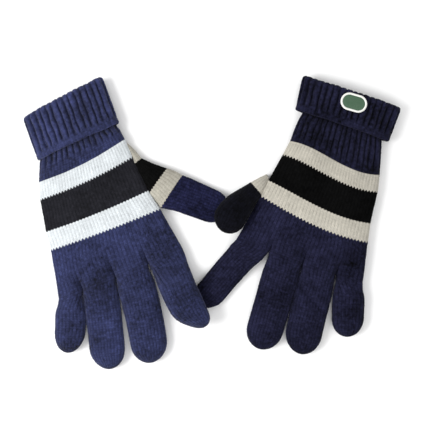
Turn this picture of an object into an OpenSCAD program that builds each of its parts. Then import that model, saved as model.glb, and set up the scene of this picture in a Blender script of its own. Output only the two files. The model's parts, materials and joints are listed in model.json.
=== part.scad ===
// A pair of machine-knitted gloves laid flat, backs up, fingers towards -Y.
// Millimetres. +Z up from the surface they lie on, +X to the right glove's side.
// Each knitted section, finger, thumb and cuff layer is a solid of its own.
// rh_ is the right-hand glove (on the left as laid), lh_ the left-hand glove.
//
// Inside each glove: a runs across towards the thumb, b runs towards the
// fingertips, and b = 0 is the knuckle line through the roots of the fingers.

/* [Hand] */
// width of the ribbed wrist where it leaves the turned-up cuff
wrist_width = 68;      // [56:1:82]
// width at the cuff side of the first white stripe
stripe_width = 81;     // [67:1:98]
// width at the cuff side of the second white stripe
lower_width = 94;      // [78:1:113]
// width where the plain palm begins
palm_width = 99;       // [82:1:119]
// width across the four finger roots
knuckle_width = 114;   // [95:1:137]
// thickness of the palm as it lies, both layers and the air between
palm_height = 13;      // [10.8:0.2:18]
// thickness of one layer of the knit
wall = 2.2;            // [1.6:0.1:2.7]

/* [Bands along the hand] */
// length of plain palm from the second white stripe to the knuckle line
palm_length = 38;      // [31:1:46]
// length of the second white stripe
white_lower_length = 15.5; // [10:0.5:22]
// length of the black stripe
black_length = 28;     // [20:1:36]
// length of the first white stripe
white_upper_length = 13.5; // [9:0.5:20]
// bare ribbed wrist, right-hand glove
wrist_length_rh = 22;  // [12:1:34]
// bare ribbed wrist, left-hand glove
wrist_length_lh = 27;  // [12:1:36]

/* [Turned-up cuff] */
// slack of the right turn-up round the wrist on each side, at its fold
fold_slack_rh = 2.6;   // [1:0.1:10]
// slack of the right turn-up round the wrist on each side, at its hem
hem_slack_rh = 1.4;    // [0.5:0.1:8]
// slack of the left turn-up round the wrist on each side, at its fold
fold_slack_lh = 8.6;   // [1:0.1:10]
// slack of the left turn-up round the wrist on each side, at its hem
hem_slack_lh = 5.1;    // [0.5:0.1:8]
// length of the turn-up, fold to hem, right-hand glove
cuff_length_rh = 40;   // [32:1:50]
// length of the turn-up, fold to hem, left-hand glove
cuff_length_lh = 31;   // [25:1:44]
// length of the smooth hem band that ends the turn-up
hem_length = 5;        // [3:0.5:8]
// clear gap between the turn-up and the wrist inside it, above and below
cuff_gap = 0.45;       // [0.35:0.05:1]

/* [Fingers] */
// length of the index finger from the knuckle line
index_length = 69;     // [57:1:83]
// length of the middle finger
middle_length = 82;    // [68:1:99]
// length of the ring finger
ring_length = 75;      // [62:1:90]
// length of the little finger
little_length = 50;    // [41:1:60]
// widest part of an index, middle or ring finger
finger_width = 29.5;   // [24.5:0.5:35.5]
// widest part of a little finger
little_width = 25;     // [20.5:0.5:30]
// thickness of a finger as it lies
finger_height = 12;    // [9:0.5:15]
// thickness of a fingertip that lies under the other glove
under_height = 8;      // [7.4:0.2:9]
// side gap between neighbouring finger roots
finger_gap = 1.2;      // [0.8:0.1:2.5]

/* [Thumbs] */
// length of the right-hand thumb beyond its bands
thumb_length_rh = 50;  // [41:1:60]
// width of a thumb at its bands
thumb_width = 29.5;    // [24.5:0.5:35.5]
// length of the left-hand thumb beside its palm
thumb_length_lh = 43;  // [36:1:52]

/* [Emblem patch] */
// length of the plain sewn patch
patch_length = 23;     // [16:1:30]
// height of the patch
patch_width = 15;      // [10:1:20]
// width of its raised border
patch_border = 1.7;    // [1:0.1:3]
// thickness of the patch
patch_thick = 1.4;     // [0.8:0.1:2.5]

/* [Lay of the pair] */
// turn of the right-hand glove from straight
tilt_rh = 22.5;        // [15:0.5:30]
// turn of the left-hand glove from straight, the other way
tilt_lh = 19;          // [12:0.5:26]
// how far apart along X the two index fingertips end, the right one on top
tip_apart = 0.5;       // [-6:0.5:6]
// how much farther along Y the right-hand fingertip reaches
tip_beyond = 18.1;     // [12:0.1:24]
// least room between the right-hand thumb's tip and the left-hand palm
thumb_room = 4;        // [2:0.5:10]

/* [Hidden] */

navy = [0.10, 0.11, 0.24];
black = [0.05, 0.05, 0.06];
white = [0.88, 0.87, 0.84];
green = [0.12, 0.38, 0.22];

SIDES = 24;            // points round a section
seam = 0.3;            // half of the gap at a seam that bends
touch = 0.05;          // half of the gap at a seam that stays put
clear_z = 0.9;         // air between a raised fingertip and what it lies on
raised = under_height + clear_z;

// ---- section of a flattened knitted tube: flat below, rounded above ----
function sgn_pow(v, p) = sign(v) * pow(abs(v), p);
function sec_x(t, w) = w / 2 * sgn_pow(cos(t), 0.78);
function sec_z(t, h) = sin(t) >= 0 ? h / 2 * (1 + sgn_pow(sin(t), 0.78))
  : h / 2 * (1 - min(1, 1.25 * pow(abs(sin(t)), 0.78)));
// a ring is [a, b, turn, z of its underside, width, height]
function ring(r, t = 0) = [for (i = [0 : SIDES - 1]) let (
    q = 360 * i / SIDES, x = sec_x(q, r[4] - 2 * t), z = sec_z(q, r[5] - 2 * t))
  [r[0] + x * cos(r[2]), r[1] - x * sin(r[2]), r[3] + t + z]];

function flat(v) = [for (p = v) each p];
function sides(n, first, turned) = [for (k = [0 : n - 2], i = [0 : SIDES - 1])
  let (j = (i + 1) % SIDES, a = first + k * SIDES + i, b = first + k * SIDES + j,
       c = b + SIDES, d = a + SIDES)
  each turned ? [[a, c, b], [a, d, c]] : [[a, b, c], [a, c, d]]];

// open tube: outside rings and inside rings, joined at both ends
module tube(outer, inner) {
  n = len(outer); m = len(inner); s = n * SIDES;
  eo = (n - 1) * SIDES; ei = s + (m - 1) * SIDES;
  polyhedron(flat(concat(outer, inner)), concat(
    sides(n, 0, false), sides(m, s, true),
    [for (i = [0 : SIDES - 1]) let (j = (i + 1) % SIDES)
      each [[i, s + i, s + j], [i, s + j, j],
            [eo + i, eo + j, ei + j], [eo + i, ei + j, ei + i]]]), convexity = 6);
}
// pocket: a tube closed at its far end
module pocket(outer, inner, tip_o, tip_i) {
  n = len(outer); m = len(inner); s = n * SIDES;
  eo = (n - 1) * SIDES; ei = s + (m - 1) * SIDES; c = s + m * SIDES;
  polyhedron(concat(flat(concat(outer, inner)), [tip_o, tip_i]), concat(
    sides(n, 0, false), sides(m, s, true),
    [for (i = [0 : SIDES - 1]) let (j = (i + 1) % SIDES)
      each [[i, s + i, s + j], [i, s + j, j], [eo + i, eo + j, c],
            [ei + j, ei + i, c + 1]]]), convexity = 6);
}
// filled: rings closed at both ends
module filled(outer) {
  n = len(outer); eo = (n - 1) * SIDES; c = n * SIDES;
  mid = function (r) [for (k = [0 : 2]) (r[0][k] + r[SIDES / 2][k]) / 2];
  polyhedron(concat(flat(outer), [mid(outer[0]), mid(outer[n - 1])]), concat(
    sides(n, 0, false), [for (i = [0 : SIDES - 1]) let (j = (i + 1) % SIDES)
      each [[j, i, c], [eo + i, eo + j, c + 1]]]), convexity = 4);
}

// ---- stations along each glove, b from the knuckle line ----
b_palm = -palm_length;
b_white_lower = b_palm - white_lower_length;
b_black = b_white_lower - black_length;
b_white_upper = b_black - white_upper_length;
function b_hem(g) = b_white_upper - (g == 0 ? wrist_length_rh : wrist_length_lh);
function b_fold(g) = b_hem(g) - (g == 0 ? cuff_length_rh : cuff_length_lh);
// middle of the hand across the glove, and its width, against b
mid_a = [[[b_fold(0), 16.9], [b_hem(0), 15], [b_white_upper, 11.3],
    [b_black, 9.3], [b_white_lower, 7], [b_palm, 7.6], [0, 5]],
  [[b_fold(1), 7.9], [b_hem(1), 6.4], [b_white_upper, 3.1], [b_black, 2.6],
    [b_white_lower, 3.4], [b_palm, 2.9], [0, 3]]];
function mid_at(g, b) = lookup(b, mid_a[g]);
function width_at(g, b) = lookup(b, [[b_fold(g), wrist_width - fold_taper],
  [b_hem(g), wrist_width], [b_white_upper, stripe_width],
  [b_black, (stripe_width + lower_width) / 2 - 1], [b_white_lower, lower_width],
  [b_palm, palm_width], [0, knuckle_width]]);
// edge of the hand on the thumb's side
function edge_at(g, b) = mid_at(g, b) + width_at(g, b) / 2;
fold_taper = 2;                              // the wrist narrows to its fold
wrist_height = palm_height - 2.2;
cuff_wall = wall + 0.2;
lift = cuff_wall + cuff_gap;                 // wrist raised inside the turn-up
cuff_height = wrist_height + 2 * lift;
function hand_ring(g, b) = [mid_at(g, b), b, 0, 0, width_at(g, b),
  b < b_white_upper ? wrist_height + (palm_height - wrist_height) / 2
    : palm_height];
function wrist_ring(g, b, up) = [mid_at(g, b), b, 0, up * lift, width_at(g, b),
  wrist_height + (1 - up) * 1.1];
module section(rings) {
  tube([for (r = rings) ring(r)], [for (r = rings) ring(r, wall)]);
}
module band(g, from, to, n = 2) {
  section([for (i = [0 : n]) hand_ring(g, from + (to - from) * i / n)]);
}

// right-hand glove is the mirror of the left-hand one, both then turned
module place(g) {
  translate([way(g) * pair_spacing / 2 - mid_x,
      way(g) * pair_rise / 2 - mid_y, 0])
    if (g == 0) rotate(tilt_rh) mirror([0, 1, 0]) children();
    else rotate(180 - tilt_lh) children();
}

// ---- the hand ----
module stripe_white_upper(g) color(white) place(g)
  band(g, b_white_upper + seam, b_black - touch);
module stripe_black(g) color(black) place(g)
  band(g, b_black + touch, b_white_lower - touch);
module stripe_white_lower(g) color(white) place(g)
  band(g, b_white_lower + touch, b_palm - touch);
module palm(g) color(navy) place(g) band(g, b_palm + touch, -seam, 3);

// ---- wrist and turned-up cuff ----
lip = 4;                                     // depth of the rolled fold
fold_slack = [fold_slack_rh, fold_slack_lh];
hem_slack = [hem_slack_rh, hem_slack_lh];
fold_round = 2.2;                            // how far its edge is rounded off
module wrist_rib(g) color(navy) place(g) section([
  wrist_ring(g, b_fold(g) + lip + 1.2, 1), wrist_ring(g, b_hem(g) - 8, 1),
  wrist_ring(g, b_hem(g) + 1.5, 1), wrist_ring(g, b_hem(g) + 9, 0),
  wrist_ring(g, b_white_upper - seam, 0)]);
function cuff_ring(g, b, grow = 0) = [mid_at(g, b), b, 0, 0,
  2 * (cuff_wall + grow) + lookup(b, [
    [b_fold(g), wrist_width - fold_taper + 2 * fold_slack[g]],
    [b_hem(g), wrist_width + 2 * hem_slack[g]]]), cuff_height + grow];
module cuff_turn_up(g) color(navy) place(g) {
  f = b_fold(g); e = b_hem(g) - hem_length - touch;
  tube([for (q = [[f, -fold_round], [f + 1.2, -0.8], [f + lip, 0], [e, 0]])
      let (r = cuff_ring(g, q[0])) ring([r[0], r[1], 0, -q[1] * 0.6,
        r[4] + 2 * q[1], r[5] + 1.2 * q[1]])],
    [ring(cuff_ring(g, f), cuff_wall + 2.4),
     ring(cuff_ring(g, f + lip - 0.4), cuff_wall + 2.4),
     ring(cuff_ring(g, f + lip), cuff_wall), ring(cuff_ring(g, e), cuff_wall)]);
}
module cuff_hem(g) color(navy) place(g) {
  s = b_hem(g) - hem_length + touch; e = b_hem(g);
  tube([ring(cuff_ring(g, s)), ring(cuff_ring(g, s + 1, 0.5)),
      ring(cuff_ring(g, e - 1, 0.5)), ring(cuff_ring(g, e))],
    [ring(cuff_ring(g, s), cuff_wall), ring(cuff_ring(g, e), cuff_wall)]);
}

// ---- fingers: [root middle, root width, direction, length, width] ----
LITTLE = 0; RING = 1; MIDDLE = 2; INDEX = 3;
root_step = finger_width + 0.5;              // pitch of the middle roots
function root_edge(g, f) = f == INDEX ? [root_step, mid_at(g, 0)
    + knuckle_width / 2] : f == MIDDLE ? [0, root_step]
  : f == RING ? [-root_step, 0] : [mid_at(g, 0) - knuckle_width / 2, -root_step];
lean = [[-24.5, -16, -10.3, 2.9], [-17, -5.8, -2.8, 21.5]];
turned = 2.5;                                // the covered index lies on its side
root_flare = 2.1;                            // a little finger passes its root
function belly(g, f) = f == LITTLE ? little_width
  : g == 1 && f == INDEX ? finger_width - turned : finger_width;
// a little finger with a narrow root stands away from its neighbour
function out(g, f) = let (e = root_edge(g, f)) f != LITTLE ? 0
  : max(0, (little_width - e[1] + e[0] + finger_gap) / 2 - root_flare);
finger_len = [little_length, ring_length, middle_length, index_length];
// how far a finger's underside is raised over the other glove, by distance
function rise(g, f, d) = (g == 0 && f == INDEX)
  ? lookup(d, [[14, 0], [34, raised]]) : 0;
function tall(g, f, d) = (g == 1 && f == INDEX)
  ? lookup(d, [[0, finger_height], [34, under_height], [90, under_height]])
  : finger_height;
tip_steps = [0, 0.42, 0.7, 0.88, 0.97];
function finger_rings(g, f, t) = let (
    e = root_edge(g, f), c = (e[0] + e[1]) / 2, w0 = e[1] - e[0] - finger_gap,
    w1 = belly(g, f), l = finger_len[f], cap = w1 * 0.52, ang = lean[g][f])
  concat([[c, seam, 0, 0, w0, tall(g, f, 0)]],
    [for (d = [6, 16, f == INDEX ? 34 : l * 0.45])
      [c + d * sin(ang) - out(g, f) * min(1, d / 16), d * cos(ang),
      ang * min(1, d / 16), rise(g, f, d), w0 + (w1 - w0) * min(1, d / 20),
      tall(g, f, d)]],
    [for (s = tip_steps) let (d = l - cap + (cap - t) * s,
        k = sqrt(1 - s * s)) [c + d * sin(ang) - out(g, f), d * cos(ang), ang,
      rise(g, f, d), 2 * t + (w1 * (1 - 0.05 * s) - 2 * t) * k,
      2 * t + (tall(g, f, d) - 2 * t) * (0.45 + 0.55 * k)]]);
function finger_tip(g, f, t) = let (e = root_edge(g, f), ang = lean[g][f],
    l = finger_len[f] - t) [(e[0] + e[1]) / 2 + l * sin(ang) - out(g, f), l * cos(ang),
    rise(g, f, l) + tall(g, f, l) / 2 - 0.6];
module finger(g, f) color(navy) place(g) pocket(
  [for (r = finger_rings(g, f, 0)) ring([r[0], r[1], r[2], r[3], r[4], r[5]])],
  [for (r = finger_rings(g, f, wall)) ring(r, wall)],
  finger_tip(g, f, 0), finger_tip(g, f, wall));

// ---- right-hand thumb: bands on the gusset, then the plain thumb ----
// a ring set out from the edge of its hand
function beside(g, out, b, turn, z, w, h) = [edge_at(g, b) + out, b, turn, z, w, h];
root_width = thumb_width + 1.5;              // the thumb's web at its root
face_turn = 33.7;                            // turn of the thumb's root face
face_b = b_white_lower + 5.27;               // middle of that face
face_a = edge_at(0, face_b) + 17.9;
split_b = b_white_lower - 7.7;               // end of the gusset's black band
gusset_h = 10.5;
module rh_gusset_white_upper() color(white) place(0) filled([
  ring(beside(0, 1.5, b_white_upper + 1, 10, 0, 1.6, 4)),
  ring(beside(0, 2.9, b_black - 1.2, 15, 0, 5.4, 7))]);
module rh_gusset_black() color(black) place(0) {
  w = thumb_width - 5.1;
  r = [beside(0, 3.3, b_black - 0.9, 18, 0, w - 18.6, 7.4),
    beside(0, 7, (b_black + split_b) / 2, 26, 0, w - 10, 9.4),
    beside(0, 11.5, split_b, 32, 0, w, gusset_h)];
  tube([for (q = r) ring(q)], [ring(r[0], 1.6), ring(r[1], wall),
    ring(r[2], wall)]);
}
module rh_gusset_white_lower() color(white) place(0) section([
  beside(0, 11.8, split_b + 0.4, 32, 0, thumb_width - 5, gusset_h),
  beside(0, 15.4, b_white_lower - 1.5, 33, 0, thumb_width - 1.9, 10.8),
  [face_a - 0.3, face_b - 0.4, face_turn, 0, root_width, 11]]);
thumb_lean = 45.8;
function thumb_rh(t) = let (l = thumb_length_rh, cap = 12, w = thumb_width)
  concat([[face_a, face_b, face_turn, 0, root_width, 11]],
    [for (d = [9, 18, 27]) [face_a + d * sin(thumb_lean),
      face_b + d * cos(thumb_lean), face_turn + (thumb_lean - face_turn)
      * min(1, d / 14), 0, max(w, root_width - d / 6),
      lookup(d, [[9, 10], [20, under_height]])]],
    [for (s = tip_steps) let (d = l - cap + (cap - t) * s, k = sqrt(1 - s * s))
      [face_a + d * sin(thumb_lean), face_b + d * cos(thumb_lean), thumb_lean, 0,
       2 * t + (w * (1 - 0.18 * s) - 1.5 - 2 * t) * k,
       2 * t + (under_height - 2 * t) * (0.5 + 0.5 * k)]]);
function thumb_end(l, z) = [face_a + l * sin(thumb_lean),
  face_b + l * cos(thumb_lean), z];
module rh_thumb() color(navy) place(0) pocket(
  [for (r = thumb_rh(0)) ring(r)], [for (r = thumb_rh(wall)) ring(r, wall)],
  thumb_end(thumb_length_rh, under_height / 2 - 0.4),
  thumb_end(thumb_length_rh - wall, under_height / 2 - 0.2));

// ---- left-hand thumb: comes out from under the edge of its palm ----
module lh_gusset_white_lower() color(white) place(1) filled([
  ring(beside(1, 2.4, b_white_lower - 4.9, 40, 0, 3.6, 5)),
  ring(beside(1, 4.6, b_white_lower + 0.5, 34, 0, 8, 8)),
  ring(beside(1, 7, b_white_lower + 6.4, 30, 0, 11.4, 10))]);
under_b = b_white_lower + 7.3;               // where the thumb comes out
// rings of that thumb by share of its length, set out from the palm's edge
function thumb_lh(k, out, turn, z, w, h) =
  beside(1, out, under_b + k * thumb_length_lh, turn, z, w, h);
slim = thumb_width - 4.3;                    // width of the left-hand thumb
lh_thumb_rings = [thumb_lh(0, 7.95, 30, 0, slim - 14.6, 10),
  thumb_lh(0.18, 10.6, 20, 3.6, slim - 8.8, 10.5),
  thumb_lh(0.353, 13.1, 12, raised, slim - 2.8, 11),
  thumb_lh(0.54, 14.4, 9, raised, slim, 11),
  thumb_lh(0.714, 14.7, 8, raised, slim, 11),
  thumb_lh(0.853, 14.3, 8, raised, slim - 3.6, 10.6),
  thumb_lh(0.944, 14, 8, raised, slim - 9.6, 9.4),
  thumb_lh(0.984, 13.9, 8, raised, slim - 16.2, 8)];
module lh_thumb() color(navy) place(1) {
  r = lh_thumb_rings; tip = thumb_lh(1, 13.7, 8, raised, 0, 0);
  pocket([for (q = r) ring(q)], [for (i = [0 : len(r) - 2]) let (q = r[i])
      ring([q[0], q[1] - (i > 3 ? wall * 0.8 : 0), q[2], q[3], q[4], q[5]], wall)],
    [tip[0], tip[1], raised + 4.6], [tip[0], tip[1] - 2.5, raised + 4.8]);
}

// ---- how the pair is laid: index fingertips crossed, thumbs clear ----
tilt = [tilt_rh, tilt_lh];
function way(g) = g == 0 ? -1 : 1;          // the right-hand glove lies at -X
// a point's place from its own knuckle line: towards the other glove, and in Y
function towards(g, p) = p[0] * cos(tilt[g]) + p[1] * sin(tilt[g]);
function upwards(g, p) = p[0] * sin(tilt[g]) - p[1] * cos(tilt[g]);
tips = [for (g = [0, 1]) finger_tip(g, INDEX, 0)];
palm_side = [edge_at(1, b_palm / 2), b_palm / 2];
pair_spacing = max(towards(0, tips[0]) + towards(1, tips[1]) + tip_apart,
  towards(0, thumb_end(thumb_length_rh, 0)) + towards(1, palm_side) + thumb_room);
pair_rise = tip_beyond + upwards(0, tips[0]) - upwards(1, tips[1]);
// the origin is the middle of the pair's footprint
function outline(g) = concat([for (f = [LITTLE : INDEX]) each finger_rings(g, f, 0)],
  [hand_ring(g, b_white_lower), cuff_ring(g, b_fold(g) + lip),
   cuff_ring(g, b_fold(g), -fold_round), cuff_ring(g, b_fold(g) + 1.2, -0.8),
   cuff_ring(g, b_hem(g) - 1, 0.5)]);
ground = [for (g = [0, 1]) for (p = concat([for (r = outline(g)) each ring(r)],
    [for (f = [LITTLE : INDEX]) finger_tip(g, f, 0)]))
  [way(g) * (pair_spacing / 2 - towards(g, p)),
   way(g) * pair_rise / 2 + upwards(g, p)]];
xs = [for (p = ground) p[0]];
ys = [for (p = ground) p[1]];
mid_x = (min(xs) + max(xs)) / 2;
mid_y = (min(ys) + max(ys)) / 2;

// ---- plain sewn patch on the left-hand turn-up ----
patch_b = b_fold(1) + 12;
patch_turn = -3;
module pill(l, w, h) linear_extrude(h) hull() for (s = [-1, 1])
  translate([s * (l - w) / 2, 0]) circle(d = w, $fn = 40);
module at_patch() place(1) translate([mid_at(1, patch_b) - 3, patch_b,
  cuff_height + 0.1]) rotate(patch_turn) children();
module lh_patch_field() color(green) at_patch()
  pill(patch_length - 2 * patch_border - 0.2,
    patch_width - 2 * patch_border - 0.2, patch_thick - 0.3);
module lh_patch_border() color(white) at_patch() difference() {
  pill(patch_length, patch_width, patch_thick);
  translate([0, 0, -1]) pill(patch_length - 2 * patch_border,
    patch_width - 2 * patch_border, patch_thick + 2);
}

module rh_cuff_turn_up() cuff_turn_up(0);
module rh_cuff_hem() cuff_hem(0);
module rh_wrist_rib() wrist_rib(0);
module rh_stripe_white_upper() stripe_white_upper(0);
module rh_stripe_black() stripe_black(0);
module rh_stripe_white_lower() stripe_white_lower(0);
module rh_palm() palm(0);
module rh_finger_index() finger(0, INDEX);
module rh_finger_middle() finger(0, MIDDLE);
module rh_finger_ring() finger(0, RING);
module rh_finger_little() finger(0, LITTLE);
module lh_cuff_turn_up() cuff_turn_up(1);
module lh_cuff_hem() cuff_hem(1);
module lh_wrist_rib() wrist_rib(1);
module lh_stripe_white_upper() stripe_white_upper(1);
module lh_stripe_black() stripe_black(1);
module lh_stripe_white_lower() stripe_white_lower(1);
module lh_palm() palm(1);
module lh_finger_index() finger(1, INDEX);
module lh_finger_middle() finger(1, MIDDLE);
module lh_finger_ring() finger(1, RING);
module lh_finger_little() finger(1, LITTLE);

rh_cuff_turn_up();
rh_cuff_hem();
rh_wrist_rib();
rh_stripe_white_upper();
rh_stripe_black();
rh_stripe_white_lower();
rh_palm();
rh_finger_index();
rh_finger_middle();
rh_finger_ring();
rh_finger_little();
rh_gusset_white_upper();
rh_gusset_black();
rh_gusset_white_lower();
rh_thumb();
lh_cuff_turn_up();
lh_cuff_hem();
lh_wrist_rib();
lh_stripe_white_upper();
lh_stripe_black();
lh_stripe_white_lower();
lh_palm();
lh_finger_index();
lh_finger_middle();
lh_finger_ring();
lh_finger_little();
lh_gusset_white_lower();
lh_thumb();
lh_patch_field();
lh_patch_border();
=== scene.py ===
"""A pair of machine-knitted gloves laid flat, each stitch raised in the mesh."""

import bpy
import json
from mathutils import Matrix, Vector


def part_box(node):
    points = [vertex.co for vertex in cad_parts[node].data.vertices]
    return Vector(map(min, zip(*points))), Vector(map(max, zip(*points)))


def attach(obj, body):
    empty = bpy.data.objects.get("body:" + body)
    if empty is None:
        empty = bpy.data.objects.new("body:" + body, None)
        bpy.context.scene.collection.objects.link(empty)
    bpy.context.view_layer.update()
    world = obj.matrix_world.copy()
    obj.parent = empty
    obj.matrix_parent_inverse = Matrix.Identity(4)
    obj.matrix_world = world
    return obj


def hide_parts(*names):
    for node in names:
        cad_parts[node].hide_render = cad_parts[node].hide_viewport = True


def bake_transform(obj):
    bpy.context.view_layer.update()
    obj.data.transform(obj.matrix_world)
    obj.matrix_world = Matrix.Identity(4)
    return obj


bl_info = {
    "name": "Knitted Gloves",
    "version": (1, 0, 0),
    "blender": (4, 5, 0),
    "location": "View3D > Sidebar > Gloves",
    "description": "Knits a pair of striped gloves with turned-up ribbed cuffs",
    "category": "Add Mesh",
}

import json
import math

import bmesh
import bpy
import numpy as np
from bpy.props import FloatProperty, FloatVectorProperty, IntProperty, PointerProperty
from mathutils import Vector

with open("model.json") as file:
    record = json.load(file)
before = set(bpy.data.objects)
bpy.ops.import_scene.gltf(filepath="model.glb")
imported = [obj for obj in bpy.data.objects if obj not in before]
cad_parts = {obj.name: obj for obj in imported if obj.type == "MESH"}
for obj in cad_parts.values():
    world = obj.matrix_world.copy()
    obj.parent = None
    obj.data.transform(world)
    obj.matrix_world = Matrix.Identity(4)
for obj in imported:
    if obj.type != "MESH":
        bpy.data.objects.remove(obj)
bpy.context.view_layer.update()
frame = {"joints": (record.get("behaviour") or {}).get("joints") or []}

# Lengths inside the script are millimetres in a glove's own frame:
# a runs across towards the thumb, b towards the fingertips, z up, and b = 0 is
# the knuckle line. Properties and the finished meshes are in metres.
METRE = 1000.0
COLUMNS = 4          # mesh columns to one stitch
ROWS = 3             # mesh rows to one course
SPARE = 5            # rings past the end of a piece, for its zigzag edge
FINE = 721           # points of the dense outline that stitches are spaced along
HAND_FINE = 361      # the same for the hand
WELD = 1e-7          # vertices closer than this, in metres, are one
FREE_STITCH = 2.7    # width of a stitch where nothing draws it in
TIP_SHARE = 0.965    # how far round its cap a finger runs before it is gathered
HEM = 5.0            # plain band that ends a turn-up
CUFF_SPREAD = 4      # stitches more round the left rib, and fewer round the right
CROTCHES = (-30.0, 0.0, 30.0)
KNUCKLE_WALES = (0, 7, 16, 25, 34)   # where the fingers part, from the little side
HAND_WALES = 2 * KNUCKLE_WALES[-1]
HAND_POWER, TUBE_POWER, CUFF_POWER = 0.80, 0.93, 0.86
LEAN = {"rh": {"little": -24.5, "ring": -16.0, "middle": -10.3, "index": 2.9},
        "lh": {"little": -17.0, "ring": -5.8, "middle": -2.8, "index": 21.5}}
RAISED = 8.9         # how far a fingertip is lifted by the one it lies on
# how a finger strays from its straight line: width at its belly, sideways bow
# at half length, sideways hook of its tip, and length of its rounded end
STRAY = {"rh": {"little": (27.0, 0.8, -0.8, 0.64), "ring": (31.4, 0.9, 1.2, 0.60),
                "middle": (33.0, 1.9, 0.2, 0.54), "index": (31.4, -1.5, 4.6, 0.84)},
         "lh": {"little": (28.2, 0.0, 0.3, 0.54), "ring": (32.4, 0.2, -0.6, 0.56),
                "middle": (32.6, -0.3, 0.0, 0.54), "index": (26.6, 1.4, 3.0, 0.60)}}
# the courses' bow at the first white edge and at the palm's: rise in the middle,
# slant towards the thumb side, curl of both sides, and sway of the quarters
BOW = {"rh": ((-2.6, -2.9, -3.5, 0.0), (-0.9, 1.6, -1.3, 0.0)),
       "lh": ((4.6, -1.2, -2.6, -6.0), (4.0, -3.8, -5.0, -1.5))}
# from the first white stripe to the hem of the turn-up, and on to its fold
CUFF_RUNS = {"rh": (22.0, 40.0), "lh": (27.0, 31.0)}
# where the hand's middle lies across the glove: far end, wrist, the four colour
# edges, knuckle line and crotches; the wrist's own place along comes first
MIDDLES = {"rh": (-117, (17, 15, 11.3, 9.3, 7, 7.6, 5, 5)),
           "lh": (-122, (8, 6.4, 3.1, 2.6, 3.4, 2.9, 3, 3))}
# widths at the fold, the hem, the four colour edges, the knuckles and the crotches
WIDTHS = (67, 71, 81.5, 86.5, 94, 99, 114, 115)
# the turn-up's own lie: width at fold and hem, then shift and slant along the
# glove at the fold, and the same at the hem
TURN_UP = {"rh": (75.5, 75.6, -0.6, -3.5, 0.3, -1.5),
           "lh": (88.0, 83.6, 1.8, 0.6, 1.4, 0.1)}
# thumbs and gussets run through stations: a, b, turn, z, width, height
RIGHT_ROOT = (71.65, -47.96, 33.7, 0.0, 33.4, 11.0)
RIGHT_SPLIT = (64.4, -60.8, 32.0, 0.0, 26.4, 10.6)
RIGHT_TOP = (53.6, -82.5, 15.0, 0.0, 11.0, 7.8)
# The gusset's yarns are the shaded copies, darkened with painted shade.
RIGHT_GUSSET = (      # node, stations, yarn, stitches round
    ("gusset_white_upper", ((50.4, -101.0, 8, 0, 4.0, 6),
                            (52.4, -92.0, 12, 0, 8.0, 7), RIGHT_TOP),
     "white_shaded", 8),
    ("gusset_black", (RIGHT_TOP, (59.2, -71.8, 26, 0, 16.8, 9.6), RIGHT_SPLIT),
     "black_shaded", 20),
    ("gusset_white_lower", (RIGHT_SPLIT, (68.3, -55.0, 33, 0, 30.2, 10.8),
                            RIGHT_ROOT), "white_shaded", 24))
RIGHT_LEAN = 45.8                  # the right thumb's line, from straight along
RIGHT_START = (72.95, -48.23)
RIGHT_THUMB = ((10, 41, 31.0, 10.2), (20, 45.8, 29.8, 8.6),   # run, turn, w, h
               (34, 45.8, 28.8, 8.0), (50, 45.8, 26.0, 8.0))
LEFT_ROOT = (57.4, -46.6, 30, 0, 15.0, 10)
LEFT_GUSSET = ((51.0, -59.4, 40, 0, 6.0, 6), (54.0, -53.0, 34, 0, 11.0, 8.4),
               LEFT_ROOT)
LEFT_THUMB = (LEFT_ROOT, (62.6, -38.5, 20, 3.4, 18.4, 10.6),
              (66.6, -31, 12, RAISED, 23.8, 11.0),
              (69.6, -23, 9, RAISED, 26.6, 11.2),
              (71.3, -15.5, 8, RAISED, 27.2, 11.2),
              (72.6, -2.6, 8, RAISED, 25.0, 10.6))
THUMB_STITCHES = {"rh": 26, "lh": 24}
LEFT_GUSSET_STITCHES = 14
# a line across each tube near where it leaves the hand: from, to, and height above
# the floor
THUMB_BENDS = {"rh": ((72.0, -47.6), (78.7, -37.6)),
               "lh": ((57.6, -46.3), (62.4, -38.0))}
THUMB_BEND_Z = 5
FINGER_BEND, FINGER_BEND_Z = (0.4, 14), 6
FINGER_MIDDLES = {"little": -41, "ring": -15, "middle": 15, "index": 46}
WRIST_BEND, WRIST_BEND_Z = 11, 8
PATCH_LENGTH, PATCH_WIDTH, PATCH_POINTS = 22.6, 14.8, 180
PATCH_TURN = math.radians(3)
# the patch's section, as distance in from its rim and height
FIELD_ROWS = ((1.5, 0.0), (1.5, 0.9), (2.0, 1.05), (3.4, 1.15), (5.0, 1.2),
              (6.4, 1.2), (7.4, 1.2))
BORDER_ROWS = ((0.05, 0.0), (0.0, 0.8), (0.35, 1.35), (0.9, 1.55), (1.5, 1.35),
               (1.85, 0.8), (1.85, 0.0))
# the stage, in metres
FLOOR_SIZE, FLOOR_Z, PAPER = 3.0, -0.0004, (0.93, 0.93, 0.93, 1)
DAYLIGHT = 0.82
LIGHTS = (("key", (-0.85, -0.12, 0.75), 0.55, 11.0),      # name, place, size, watts
          ("fill", (0.3, -0.6, 1.3), 1.2, 3.5))
LIGHT_AIM = (-0.02, 0, 0)
LENS, SENSOR = 70, 36
VIEW_CENTRE, VIEW_WIDTH = (0.0043, 0.0044), 0.3724


# ------------------------------------------------------------------ sizes
def length(name, description, default):
    """A length that can be set, in metres."""
    return FloatProperty(name=name, description=description, default=default,
                         unit="LENGTH")


def colour(name, description, default):
    """A colour that can be set."""
    return FloatVectorProperty(name=name, description=description,
                               default=default, subtype="COLOR")


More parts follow.
